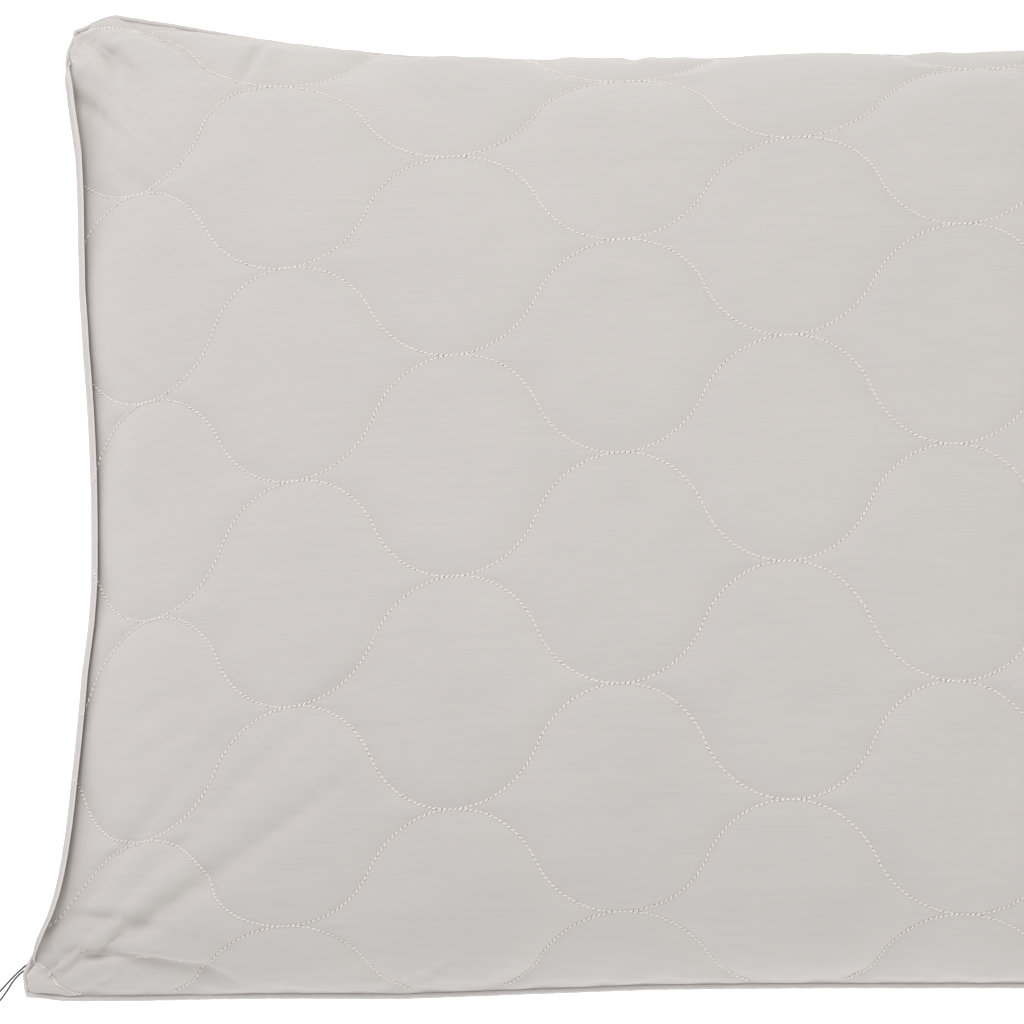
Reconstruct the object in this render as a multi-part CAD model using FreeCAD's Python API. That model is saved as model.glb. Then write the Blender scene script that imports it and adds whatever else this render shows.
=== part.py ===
"""Quilted bed pillow: a zipped, wadded cover over a ticking insert that holds a stack of wool batts.

The pillow lies on its back face. +X runs along its length, +Y across its width and +Z up.
The origin is at the bottom centre. All sizes are in millimetres.
"""
import FreeCAD, Part
import math
import os
from FreeCAD import Vector

# ---- driving dimensions: the filled pillow ----
HALF_LENGTH_CORNER = 325.0     # centre to the corner tips, along X
HALF_LENGTH_MIDDLE = 300.0     # centre to the middle of a short edge, which the filling pulls in
HALF_WIDTH_CORNER = 248.0      # centre to the corner tips, along Y
HALF_WIDTH_MIDDLE = 236.0      # centre to the middle of a long edge
SEAM_HEIGHT = 58.0             # height of the perimeter seam
CROWN_HEIGHT = 84.0            # crown above the seam
BELLY_DEPTH = 70.0             # depth of the back face below the seam before the floor flattens it

# ---- driving dimensions: depth of each layer's two faces below the outer surface ----
FACE_FABRIC = (0.0, 0.9)
WADDING = (1.3, 6.3)
LINING = (6.7, 7.3)
TICKING = (12.0, 12.8)
FILLING_DEPTH = 13.4
THREAD_DEPTH = 0.15            # quilting thread is pulled this far into the face fabric
THREAD_HEIGHT = 0.4            # and stands this far proud of it
BATTS_BELOW_SEAM = 2
BATTS_ABOVE_SEAM = 3
BATT_GAP = 0.6

# ---- driving dimensions: quilting, rows of waves that touch their neighbours ----
ROW_PITCH = 53.5               # from one row's middle to the next, and a wave's full height
HALF_WAVE = 78.0               # hill to valley along the length
FIRST_HILL_X = -195.6          # a column where neighbouring rows touch
FIRST_ROW_Y = -27.55           # middle of the row that has a hill in that column
THREAD_WIDTH = 0.8
ROWS_EACH_WAY = 5              # rows above and below the middle one
POINTS_PER_HALF_WAVE = 12
FEWEST_SECTIONS = 3            # a shorter stretch of thread is left out
THREAD_BREAK = 0.6             # between the ribbons of two half waves
THREAD_END_GAP = 8.0           # thread's end to the perimeter seam
THREAD_LOWEST = 2.0            # back thread stays clear of what the pillow rests on

# ---- driving dimensions: piping in the perimeter seam ----
PIPING_RADIUS = 1.3
PIPING_BORE_RADIUS = 0.7
PIPING_CORD_RADIUS = 0.7
PIPING_STAND_OFF = 1.75        # panel edge to the piping's centre line

# ---- driving dimensions: zip, by depth inside the seam's arc and height about the chain ----
ZIP_HEIGHT = SEAM_HEIGHT + 6.4
CHAIN_HALF_LENGTH = 201.0
TAPE_OVERRUN = 8.0             # tape past each end of the chain
GROOVE_HALF_LENGTH = 224.0     # leaves room for the pull tab past either end
GROOVE_HALF_HEIGHT = 6.0
GROOVE_DEPTH = 10.2
TAPE_DEPTH = 6.9               # middle of the tape's thickness
TAPE_THICKNESS = 0.6
TAPE_CLEARANCE = 0.5
TAPE_WIDTH = 12.0
TAPE_BEND = 5.4                # height, past the slider, at which the front tape starts to lean in
TAPE_LEAN = 9.0                # how far in its outer edge leans
CLEARING_DEPTH = 26.0          # past the lining where the panel has risen to the tape's outer edge
MIDDLE_GAP = 0.6               # chain's centre line to each tape's and coil's inner edge
COIL_DEPTH = (4.4, 6.4)
COIL_WIDTH = 2.1
STOP_LENGTH = 2.4
STOP_DEPTH = (4.1, 6.4)
STOP_WIDTH = 2.4
STOP_GAP = 0.2                 # coil to stop

# ---- driving dimensions: slider and pull tab ----
SLIDER_LENGTH = 11.0
SLIDER_HALF_WIDTH = 4.9
SLIDER_NOSE = 2.6              # corner radius of the wings
OUTER_WING = (2.6, 3.8)
INNER_WING = (7.8, 9.0)
FLANGE_REACH = 6.0
FLANGE_THICKNESS = 0.7
POST_HALF_WIDTH = 0.4
POST_SPAN = (-5.0, -1.2)
BAIL_TOP = -1.0
BAIL_THICKNESS = 1.2
BAIL_HALF_LENGTH = 4.0
BAIL_HALF_WIDTH = 1.6
SLIDER_PLAY = 0.3              # slider to either stop at the ends of its travel
TAB_AXIS_DEPTH = 1.3
TAB_BAR_RADIUS = 0.7
TAB_ARM = (2.2, 3.4)
TAB_REACH = 23.0
TAB_PLATE_START = 5.4
TAB_HALF_THICKNESS = 0.6
TAB_HOLE_RADIUS = 1.6
TAB_HOLE_FROM_END = 3.6

# ---- driving dimensions: care label, hang tag and its string ----
LABEL_THICKNESS = 0.4
LABEL_WIDTH = 30.0
LABEL_DROP = 36.0
LABEL_OFFSET = 0.25            # label to the edge of the back panel
LABEL_Y = 150.0
STRING_DIAMETER = 0.9
TAG_LENGTH = 70.0
TAG_WIDTH = 45.0
TAG_THICKNESS = 0.8
TAG_CORNER_RADIUS = 3.0
TAG_HOLE_RADIUS = 2.4
TAG_HOLE_FROM_END = 7.0
TAG_HOLE_X = -366.8
TAG_HOLE_Y = -236.1
TAG_HOLE_HEIGHT = 1.9          # the string holds the hole's end up
STRING_ROUTE = [
    (-323.1, -219.0, 57.4), (-326.8, -220.4, 56.0), (-330.3, -221.8, 53.5), (-335.0, -223.2, 45.0),
    (-341.2, -225.5, 34.0), (-347.0, -228.0, 23.0), (-353.0, -231.2, 13.0), (-360.0, -235.0, 7.5),
    (-366.6, -236.0, 6.6), (-366.9, -236.2, 0.5), (-360.8, -236.6, 0.47), (-356.0, -235.8, 3.0),
    (-351.5, -233.2, 10.5), (-346.2, -230.0, 21.5), (-341.4, -227.2, 33.0), (-335.5, -224.8, 43.5),
    (-330.0, -223.2, 52.0), (-326.8, -222.1, 54.8), (-323.6, -220.8, 56.8)]

# ---- values that follow from them ----
SIDE_SAG = HALF_LENGTH_CORNER - HALF_LENGTH_MIDDLE
SIDE_RADIUS = (HALF_WIDTH_CORNER ** 2 + SIDE_SAG ** 2) / (2 * SIDE_SAG)
SIDE_CENTRE = HALF_LENGTH_MIDDLE + SIDE_RADIUS
SIDE_ANGLE = math.degrees(math.asin(HALF_WIDTH_CORNER / SIDE_RADIUS))
END_SAG = HALF_WIDTH_CORNER - HALF_WIDTH_MIDDLE
END_RADIUS = (HALF_LENGTH_CORNER ** 2 + END_SAG ** 2) / (2 * END_SAG)
END_CENTRE = HALF_WIDTH_MIDDLE + END_RADIUS
END_ANGLE = math.degrees(math.asin(HALF_LENGTH_CORNER / END_RADIUS))
CHAIN_RADIUS = SIDE_RADIUS + TAPE_DEPTH
SLIDER_SWING = math.degrees((CHAIN_HALF_LENGTH - STOP_LENGTH - SLIDER_PLAY - SLIDER_LENGTH / 2) / CHAIN_RADIUS)
WIDE = 1000.0
UP = Vector(0, 0, 1)
ORIGIN = Vector(0, 0, 0)


def save(name, shape):
    """Write one sub-part to its own STEP file."""
    shape.exportStep(f"parts/{name}.step")
    print(f"{name:24s} solids {len(shape.Solids):3d}  volume {shape.Volume / 1000:9.2f} cm3  {shape.isValid()}")


def box(low, high):
    """Box between two corners."""
    return Part.makeBox(*(high[i] - low[i] for i in range(3)), Vector(*low))


def between_heights(low, high):
    """Everything between two heights."""
    return box((-WIDE, -WIDE, low), (WIDE, WIDE, high))


def polygon(points):
    """Flat face with straight sides."""
    return Part.Face(Part.makePolygon([Vector(*point) for point in points + points[:1]]))


# ---- pillow panels ----
def crown(share):
    """Height profile from an edge (0) to the middle (1): steep at the edge, flat at the middle."""
    return share * (5 - share ** 2) / 4


def panel_point(s, t, depth, rise):
    """Point of a panel at s, t in -1..1, set in by depth; rise is its signed height over the seam."""
    u, v = math.sin(math.pi * s / 2), math.sin(math.pi * t / 2)
    half_width = HALF_WIDTH_MIDDLE + END_RADIUS - math.sqrt(END_RADIUS ** 2 - (HALF_LENGTH_CORNER * u) ** 2)
    half_length = HALF_LENGTH_MIDDLE + SIDE_RADIUS - math.sqrt(SIDE_RADIUS ** 2 - (HALF_WIDTH_CORNER * v) ** 2)
    height = crown(math.cos(math.pi * s / 2)) * crown(math.cos(math.pi * t / 2))
    return Vector(u * (half_length - depth), v * (half_width - depth), SEAM_HEIGHT + rise * height)


def panel_face(depth, rise):
    """Smooth face of one panel, set in by depth from the outer surface."""
    along, across = 17, 13
    rows = [[panel_point(2 * i / (along - 1) - 1, 2 * j / (across - 1) - 1, depth, rise)
             for j in range(across)] for i in range(along)]
    surface = Part.BSplineSurface()
    surface.interpolate(rows)
    return surface.toShape()


def half_pillow(depth, front):
    """Solid between the seam plane and one panel set in by depth; the back one is flat where it rests."""
    rise = CROWN_HEIGHT - depth if front else depth - BELLY_DEPTH
    panel = panel_face(depth, rise)
    base = Part.Face(Part.Wire(Part.__sortEdges__(panel.Edges)))
    solid = Part.Solid(Part.Shell([panel, base]))
    if solid.Volume < 0:
        solid.reverse()
    return solid if front else solid.common(between_heights(depth, SEAM_HEIGHT))


def layer(depths, front):
    """One layer of one half, between two depths."""
    return half_pillow(depths[0], front).cut(half_pillow(depths[1], front))


# ---- quilting ----
def seam_shares(x, y):
    """How far a point lies from the middle to the edges, -1..1 along X and Y."""
    u = v = 0.0
    for _ in range(30):
        half_width = HALF_WIDTH_MIDDLE + END_RADIUS - math.sqrt(END_RADIUS ** 2 - (HALF_LENGTH_CORNER * u) ** 2)
        v = max(-1.0, min(1.0, y / half_width))
        half_length = HALF_LENGTH_MIDDLE + SIDE_RADIUS - math.sqrt(SIDE_RADIUS ** 2 - (HALF_WIDTH_CORNER * v) ** 2)
        u = max(-1.0, min(1.0, x / half_length))
    return u, v


def panel_height(x, y, rise):
    """Height of the outer surface of one half over a point in plan."""
    u, v = seam_shares(x, y)
    return SEAM_HEIGHT + rise * crown(math.sqrt(1 - u * u)) * crown(math.sqrt(1 - v * v))


def wave_at(x, row):
    """Y and slope of a row of quilting at x: half waves of two tangent arcs, mirrored row by row."""
    turn = 2 * math.atan(ROW_PITCH / HALF_WAVE)
    radius = HALF_WAVE / 2 / math.sin(turn)
    half_wave = round((x - FIRST_HILL_X) / HALF_WAVE)
    across = (x - FIRST_HILL_X - half_wave * HALF_WAVE) / radius
    side = 1 if (half_wave + row) % 2 == 0 else -1
    y = FIRST_ROW_Y + row * ROW_PITCH + side * (ROW_PITCH / 2 - radius * (1 - math.sqrt(1 - across ** 2)))
    return y, -side * across / math.sqrt(1 - across ** 2)


def thread_section(x, row, front):
    """Cross-section of the thread where a row crosses x, square to the row."""
    rise = CROWN_HEIGHT if front else -BELLY_DEPTH
    outward = 1 if front else -1
    y, slope = wave_at(x, row)
    shift_x, shift_y = (THREAD_WIDTH / 2 * part / math.hypot(1, slope) for part in (-slope, 1))
    corners = []
    for side, height in ((-1, -THREAD_DEPTH), (1, -THREAD_DEPTH), (1, THREAD_HEIGHT), (-1, THREAD_HEIGHT)):
        px, py = x + side * shift_x, y + side * shift_y
        corners.append(Vector(px, py, panel_height(px, py, rise) + outward * height))
    return Part.makePolygon(corners + corners[:1])


def thread_lies(x, row, front):
    """Whether a row has thread at x: clear of the perimeter seam and of what the pillow rests on."""
    y = wave_at(x, row)[0]
    if abs(y) > HALF_WIDTH_MIDDLE - THREAD_END_GAP:
        return False
    u = seam_shares(x, y)[0]
    clear = abs(u) * HALF_LENGTH_CORNER < HALF_LENGTH_CORNER - THREAD_END_GAP
    return clear and (front or panel_height(x, y, -BELLY_DEPTH) > THREAD_LOWEST + THREAD_HEIGHT)


def quilting_thread(front):
    """Rows of thread on one half, one ribbon per half wave, left out where the thread is hidden."""
    half_count = math.ceil(2 * HALF_LENGTH_CORNER / HALF_WAVE) + 1
    rows = range(-ROWS_EACH_WAY, ROWS_EACH_WAY + 1)
    ribbons = []
    for row, half in ((row, half) for row in rows for half in range(-2, half_count)):
        start = FIRST_HILL_X + half * HALF_WAVE
        step = (HALF_WAVE - THREAD_BREAK) / POINTS_PER_HALF_WAVE
        columns = [start + step * k for k in range(POINTS_PER_HALF_WAVE + 1)]
        stretch = [thread_section(x, row, front) for x in columns if thread_lies(x, row, front)]
        if len(stretch) > FEWEST_SECTIONS:
            ribbon = Part.makeLoft(stretch, True, False)
            ribbons.append(ribbon if ribbon.Volume > 0 else ribbon.reversed())
    return Part.makeCompound(ribbons)


# ---- piping ----
def piping(radius, bore):
    """Ring of piping right round the seam: an arc along each edge and one round each corner tip."""
    section = Part.Face(Part.Wire(Part.makeCircle(radius, ORIGIN, Vector(0, 1, 0))))
    if bore:
        section = section.cut(Part.Face(Part.Wire(Part.makeCircle(bore, ORIGIN, Vector(0, 1, 0)))))
    corner_turn = 90 + SIDE_ANGLE + END_ANGLE
    arcs = []
    for sign in (-1, 1):
        side_start = -SIDE_ANGLE if sign < 0 else 180 - SIDE_ANGLE
        end_start = (90 if sign < 0 else 270) - END_ANGLE
        arcs.append(((sign * SIDE_CENTRE, 0), SIDE_RADIUS - PIPING_STAND_OFF, side_start, 2 * SIDE_ANGLE))
        arcs.append(((0, sign * END_CENTRE), END_RADIUS - PIPING_STAND_OFF, end_start, 2 * END_ANGLE))
        for across in (-1, 1):
            start = {(1, 1): -SIDE_ANGLE, (-1, 1): 90 - END_ANGLE,
                     (-1, -1): 180 - SIDE_ANGLE, (1, -1): 270 - END_ANGLE}[(sign, across)]
            tip = (sign * HALF_LENGTH_CORNER, across * HALF_WIDTH_CORNER)
            arcs.append((tip, PIPING_STAND_OFF, start, corner_turn))
    pieces = []
    for centre, arc_radius, start, sweep in arcs:
        piece = section.translated(Vector(arc_radius, 0, 0)).rotated(ORIGIN, UP, start)
        pieces.append(piece.revolve(ORIGIN, UP, sweep).translated(Vector(*centre, SEAM_HEIGHT)))
    return pieces[0].multiFuse(pieces[1:]).removeSplitter()


# ---- zip ----
def along_chain(length):
    """Angle about the zipped edge's centre for a length along the chain."""
    return math.degrees(length / CHAIN_RADIUS)


def zip_ring(profile, start, end):
    """Section given by depth and height about the chain, run along the zipped edge between two lengths."""
    face = polygon([(SIDE_RADIUS + depth, 0, ZIP_HEIGHT + height) for depth, height in profile])
    ring = face.rotated(ORIGIN, UP, along_chain(start)).revolve(ORIGIN, UP, along_chain(end - start))
    return ring.translated(Vector(-SIDE_CENTRE, 0, 0))


def rectangle(depths, heights):
    """Corners of a section between two depths and two heights."""
    return [(depths[0], heights[0]), (depths[1], heights[0]), (depths[1], heights[1]), (depths[0], heights[1])]


def tape_profile(front, margin):
    """Section of a tape, or of its pocket when there is a margin: the front one leans in with the panel."""
    half = TAPE_THICKNESS / 2 + margin
    end = MIDDLE_GAP + TAPE_WIDTH + margin
    if not front:
        return rectangle((TAPE_DEPTH - half, TAPE_DEPTH + half), (-end, -MIDDLE_GAP))
    return [(TAPE_DEPTH - half, MIDDLE_GAP), (TAPE_DEPTH + half, MIDDLE_GAP), (TAPE_DEPTH + half, TAPE_BEND),
            (TAPE_DEPTH + half + TAPE_LEAN, end), (TAPE_DEPTH - half + TAPE_LEAN, end), (TAPE_DEPTH - half, TAPE_BEND)]


def tape(front, margin=0.0):
    """Zip tape on one side of the chain, or its pocket."""
    half_length = CHAIN_HALF_LENGTH + TAPE_OVERRUN + 2 * margin
    return zip_ring(tape_profile(front, margin), -half_length, half_length)


def tape_clearing():
    """The front wadding and lining stop short of the front tape, which takes their place along the zip."""
    half_length = CHAIN_HALF_LENGTH + TAPE_OVERRUN + 2 * TAPE_CLEARANCE
    heights = (SEAM_HEIGHT - ZIP_HEIGHT - 1, MIDDLE_GAP + TAPE_WIDTH + TAPE_CLEARANCE)
    return zip_ring(rectangle((-5, CLEARING_DEPTH), heights), -half_length, half_length)


def coil(front):
    """Row of zip coils on one tape, as one plain strip."""
    inner, outer = MIDDLE_GAP, MIDDLE_GAP + COIL_WIDTH
    heights = (inner, outer) if front else (-outer, -inner)
    half_length = CHAIN_HALF_LENGTH - STOP_LENGTH - STOP_GAP
    return zip_ring(rectangle(COIL_DEPTH, heights), -half_length, half_length)


def stop(heights, start):
    """Block at one end of the chain."""
    return zip_ring(rectangle(STOP_DEPTH, heights), start, start + STOP_LENGTH)


def zip_groove():
    """Opening in the front half along the zipped edge: the chain, slider and pull tab run in it."""
    heights = (SEAM_HEIGHT - ZIP_HEIGHT - 1, GROOVE_HALF_HEIGHT)
    return zip_ring(rectangle((-5, GROOVE_DEPTH), heights), -GROOVE_HALF_LENGTH, GROOVE_HALF_LENGTH)


# ---- slider and pull tab, drawn at the middle of the zipped edge and swung to the closed end ----
def zip_point(depth, along, height):
    """Point by depth, length along the chain and height about it, at the middle of the zipped edge."""
    return (-HALF_LENGTH_MIDDLE + depth, along, ZIP_HEIGHT + height)


def zip_box(depths, along, heights):
    """Box by its spans of depth, length along the chain and height about it."""
    return box(zip_point(depths[0], along[0], heights[0]), zip_point(depths[1], along[1], heights[1]))


def round_flat(shape, radius, along=None):
    """Round the corners of a plate whose flat lies square to depth; all four, or those at one end."""
    edges = [edge for edge in shape.Edges
             if abs(edge.tangentAt(edge.FirstParameter).x) > 0.99
             and (along is None or abs(edge.Vertexes[0].Y - along) < 0.01)]
    return shape.makeFillet(radius, edges)


def closed_end(shape):
    """Swing a piece drawn at the middle of the zipped edge to the zip's closed end."""
    return shape.rotated(Vector(-SIDE_CENTRE, 0, 0), UP, -SLIDER_SWING)


def slider():
    """Two wings joined by the post that parts the coils, with flanges and an arched bail."""
    half = SLIDER_LENGTH / 2
    width = (-SLIDER_HALF_WIDTH, SLIDER_HALF_WIDTH)
    pieces = [round_flat(zip_box(wing, (-half, half), width), SLIDER_NOSE) for wing in (OUTER_WING, INNER_WING)]
    pieces.append(zip_box((OUTER_WING[1], INNER_WING[0]), POST_SPAN, (-POST_HALF_WIDTH, POST_HALF_WIDTH)))
    for side in (-1, 1):
        heights = sorted((side * SLIDER_HALF_WIDTH, side * (SLIDER_HALF_WIDTH - FLANGE_THICKNESS)))
        straight = half - SLIDER_NOSE
        pieces.append(zip_box((OUTER_WING[1], FLANGE_REACH), (-straight, straight), heights))
    top, foot, end = BAIL_TOP, OUTER_WING[0], BAIL_HALF_LENGTH
    inner = end - BAIL_THICKNESS
    outline = [(foot, end), (top + BAIL_THICKNESS, end), (top, inner), (top, -inner),
               (top + BAIL_THICKNESS, -end), (foot, -end), (foot, -inner), (top + BAIL_THICKNESS, -inner),
               (top + BAIL_THICKNESS, inner), (foot, inner)]
    bail = polygon([zip_point(depth, along, -BAIL_HALF_WIDTH) for depth, along in outline])
    pieces.append(bail.extrude(UP * 2 * BAIL_HALF_WIDTH))
    return closed_end(pieces[0].multiFuse(pieces[1:]).removeSplitter())


def pull_tab():
    """Flat tab hung by a cross bar under the slider's bail; it lies back past the closed end."""
    inner, outer = TAB_ARM
    thickness = (TAB_AXIS_DEPTH - TAB_HALF_THICKNESS, TAB_AXIS_DEPTH + TAB_HALF_THICKNESS)
    plate = round_flat(zip_box(thickness, (-TAB_REACH, -TAB_PLATE_START), (-outer, outer)),
                       outer - inner, along=-TAB_REACH)
    hole_centre = Vector(*zip_point(thickness[0] - 1, -TAB_REACH + TAB_HOLE_FROM_END, 0))
    plate = plate.cut(Part.makeCylinder(TAB_HOLE_RADIUS, 5, hole_centre, Vector(1, 0, 0)))
    bar = Part.makeCylinder(TAB_BAR_RADIUS, 2 * outer, Vector(*zip_point(TAB_AXIS_DEPTH, 0, -outer)), UP)
    arms = [zip_box(thickness, (-TAB_PLATE_START - 1, 0), sorted((side * inner, side * outer))) for side in (-1, 1)]
    return closed_end(plate.multiFuse([bar] + arms).removeSplitter())


# ---- label, hang tag and string ----
def care_label():
    """Blank label sewn in the seam opposite the zip, hanging down the flank."""
    top = SEAM_HEIGHT - PIPING_RADIUS - LABEL_OFFSET - ZIP_HEIGHT
    profile = rectangle((-LABEL_OFFSET - LABEL_THICKNESS, -LABEL_OFFSET), (top - LABEL_DROP, top))
    return zip_ring(profile, LABEL_Y - LABEL_WIDTH / 2, LABEL_Y + LABEL_WIDTH / 2).mirror(ORIGIN, Vector(1, 0, 0))


def hang_tag():
    """Blank card with a string hole; the string under it holds the hole's end up."""
    low = (TAG_HOLE_X + TAG_HOLE_FROM_END - TAG_LENGTH, TAG_HOLE_Y - TAG_WIDTH / 2, 0)
    card = box(low, (low[0] + TAG_LENGTH, low[1] + TAG_WIDTH, TAG_THICKNESS))
    upright = [edge for edge in card.Edges if abs(edge.tangentAt(edge.FirstParameter).z) > 0.99]
    card = card.makeFillet(TAG_CORNER_RADIUS, upright)
    hole = Part.makeCylinder(TAG_HOLE_RADIUS, 10, Vector(TAG_HOLE_X, TAG_HOLE_Y, -5), UP)
    tilt = math.degrees(math.asin(TAG_HOLE_HEIGHT / (TAG_LENGTH - TAG_HOLE_FROM_END)))
    return card.cut(hole).rotated(Vector(*low), Vector(0, 1, 0), -tilt)


def tag_string():
    """String as straight runs joined by tangent arcs, each as large as its two runs allow."""
    points = [Vector(*point) for point in STRING_ROUTE]
    edges = []
    radii = []
    start = points[0]
    for before, corner, after in zip(points, points[1:], points[2:]):
        arrive, leave = (corner - before).normalize(), (after - corner).normalize()
        reach = 0.45 * min(before.distanceToPoint(corner), corner.distanceToPoint(after))
        half_turn = arrive.getAngle(leave) / 2
        radii.append(reach / math.tan(half_turn))
        first, last = corner - arrive * reach, corner + leave * reach
        inward = (leave - arrive).normalize()
        middle = corner + inward * radii[-1] * (1 / math.cos(half_turn) - 1)
        edges += [Part.LineSegment(start, first).toShape(), Part.Arc(first, middle, last).toShape()]
        start = last
    edges.append(Part.LineSegment(start, points[-1]).toShape())
    path = Part.Wire(edges)
    circle = Part.Wire(Part.makeCircle(STRING_DIAMETER / 2, points[0], points[1] - points[0]))
    tube = path.makePipeShell([circle], True, False)
    section = math.pi * STRING_DIAMETER ** 2 / 4
    print("string radii", [round(radius, 1) for radius in radii])
    print(f"string length {path.Length:.1f}  volume / (section x length) {tube.Volume / section / path.Length:.4f}")
    return tube


def make_cover():
    """Each half of the quilted cover, opened for the zip, with its thread."""
    for side, front in (("front", True), ("back", False)):
        for kind, depths in (("fabric", FACE_FABRIC), ("wadding", WADDING), ("lining", LINING)):
            sheet = layer(depths, front)
            if front:
                sheet = sheet.cut(zip_groove())
            if kind != "fabric":
                sheet = sheet.cut(tape_clearing() if front else tape(front, TAPE_CLEARANCE))
            save(f"{side}_{kind}", sheet)
        save(f"{side}_quilting_thread", quilting_thread(front))
    save("piping_sleeve", piping(PIPING_RADIUS, PIPING_BORE_RADIUS))
    save("piping_cord", piping(PIPING_CORD_RADIUS, None))
    save("care_label", care_label())


def make_zip():
    """Both tapes with their coils, the stops, the slider and its tab."""
    for side, front in (("front", True), ("back", False)):
        save(f"zipper_tape_{side}", tape(front))
        save(f"zipper_coil_{side}", coil(front))
    inner, outer = MIDDLE_GAP, MIDDLE_GAP + STOP_WIDTH
    top_stops = [stop(heights, -CHAIN_HALF_LENGTH) for heights in ((inner, outer), (-outer, -inner))]
    save("zipper_top_stops", Part.makeCompound(top_stops))
    save("zipper_bottom_stop", stop((-outer, outer), CHAIN_HALF_LENGTH - STOP_LENGTH))
    save("zipper_slider", slider())
    save("zipper_pull_tab", pull_tab())


def make_insert():
    """Ticking in two halves round a stack of wool batts; a gap between batts lies on the seam plane."""
    for side, front, count in (("front", True, BATTS_ABOVE_SEAM), ("back", False, BATTS_BELOW_SEAM)):
        save(f"insert_ticking_{side}", layer(TICKING, front))
        filling = half_pillow(FILLING_DEPTH, front)
        low = SEAM_HEIGHT if front else FILLING_DEPTH
        pitch = ((SEAM_HEIGHT + CROWN_HEIGHT - FILLING_DEPTH) if front else SEAM_HEIGHT) - low
        pitch /= count
        for k in range(count):
            number = k + 1 + (BATTS_BELOW_SEAM if front else 0)
            span = between_heights(low + k * pitch + BATT_GAP / 2, low + (k + 1) * pitch - BATT_GAP / 2)
            save(f"wool_batt_{number}", filling.common(span))


def make_tag():
    """Hang tag on its string."""
    save("tag_string", tag_string())
    save("hang_tag", hang_tag())


if __name__ == "__main__":
    os.makedirs("parts", exist_ok=True)
    make_cover()
    make_zip()
    make_insert()
    make_tag()
    swing = math.radians(SLIDER_SWING)
    axis_x = (SIDE_RADIUS + TAB_AXIS_DEPTH) * math.cos(swing) - SIDE_CENTRE
    axis_y = -(SIDE_RADIUS + TAB_AXIS_DEPTH) * math.sin(swing)
    print(f"slider hinge x {-SIDE_CENTRE:.3f}  range 0 to {2 * SLIDER_SWING:.3f} degrees")
    print(f"pull tab hinge x {axis_x:.3f} y {axis_y:.3f}  rest turn {-SLIDER_SWING:.3f} degrees")
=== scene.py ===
"""Looks of the quilted bed pillow: puffed cotton cover, stitched quilting, piping, zip, label and hang tag.

Everything is in metres, in the row frame: +X along the length, +Y across the width, +Z up. A place on the
cover is given by its pattern coordinates p and q, measured along the cloth from the middle of a panel.
"""

import math

import bpy
import numpy as np
from mathutils import Matrix, Vector


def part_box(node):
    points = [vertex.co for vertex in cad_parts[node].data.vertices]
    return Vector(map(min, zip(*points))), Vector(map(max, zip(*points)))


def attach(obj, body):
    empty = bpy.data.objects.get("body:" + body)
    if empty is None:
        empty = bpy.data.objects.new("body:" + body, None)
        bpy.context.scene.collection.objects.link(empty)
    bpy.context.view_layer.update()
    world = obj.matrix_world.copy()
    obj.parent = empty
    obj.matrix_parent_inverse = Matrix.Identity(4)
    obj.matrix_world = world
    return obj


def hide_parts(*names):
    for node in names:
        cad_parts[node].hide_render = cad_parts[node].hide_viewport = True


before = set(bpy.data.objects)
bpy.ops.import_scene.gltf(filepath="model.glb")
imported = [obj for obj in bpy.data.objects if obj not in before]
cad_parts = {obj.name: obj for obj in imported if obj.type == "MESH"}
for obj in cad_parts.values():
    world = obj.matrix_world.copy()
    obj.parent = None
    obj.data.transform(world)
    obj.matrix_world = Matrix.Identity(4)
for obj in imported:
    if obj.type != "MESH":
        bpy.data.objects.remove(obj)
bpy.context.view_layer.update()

bl_info = {
    "name": "Quilted Bed Pillow",
    "version": (1, 0, 0),
    "blender": (4, 5, 0),
    "location": "View3D > Sidebar > Pillow",
    "description": "Builds a quilted, piped and zipped bed pillow around its packed frame",
    "category": "Object",
}

# ---- places and sizes taken from the frame ----
PANEL_LOW, PANEL_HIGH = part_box("front_fabric")
CORNER_X, CORNER_Y = PANEL_HIGH.x, PANEL_HIGH.y
SEAM_Z = PANEL_LOW.z
CROWN = PANEL_HIGH.z - SEAM_Z
COIL_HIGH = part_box("zipper_coil_back")[1]
CHAIN_END = COIL_HIGH.y
CHAIN_Z = (COIL_HIGH.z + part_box("zipper_coil_front")[0].z) / 2
LABEL_LOW, LABEL_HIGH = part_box("care_label")

# ---- shape of the filled pillow ----
MIDDLE_X = 0.300               # centre to the middle of a short edge
MIDDLE_Y = 0.236               # centre to the middle of a long edge
BELLY = 0.070                  # depth of the back panel under the seam before the floor flattens it
FLAT_X, FLAT_Y = 0.330, 0.254  # half sizes of a panel as cut
LIP_HEIGHT = 0.0120            # the front panel ends this far above the seam along the zip
LIP_OVERHANG = 0.0019          # and stands out this far past the seam to hide the chain
LIP_END = 0.215                # where the zip's opening closes, along Y
LIP_RUN_OUT = 0.020            # and the length over which it closes
LIP_DRAW = 0.014               # cloth over which the lip's pull dies away
LIP_CALM = 0.022               # cloth over which quilting and folds grow from the lip
PIPING_OFFSET = 0.00115        # panel edge to the piping's centre line
FLOOR_GAP = 0.0002             # resting cloth to the floor
EDGE_SAG = CORNER_X - MIDDLE_X
EDGE_RADIUS = (CORNER_Y ** 2 + EDGE_SAG ** 2) / (2 * EDGE_SAG)  # of a short edge's arc
TOP_LEFT_PULL, CORNER_PULL = 0.0055, 0.0025  # how far the sewn corners are drawn in

# How the cloth turns in at the zipped edge: inward and up from its rim.
FRONT_TURN = ((.0004, -.0005), (.0011, -.0006), (.0016, .0000), (.0018, .0012), (.0030, .0040), (.0050, .0100))
BACK_TURN = ((.0006, .0004), (.0020, .0006), (.0045, .0004), (.0060, -.0004), (.0062, -.0050))

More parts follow.
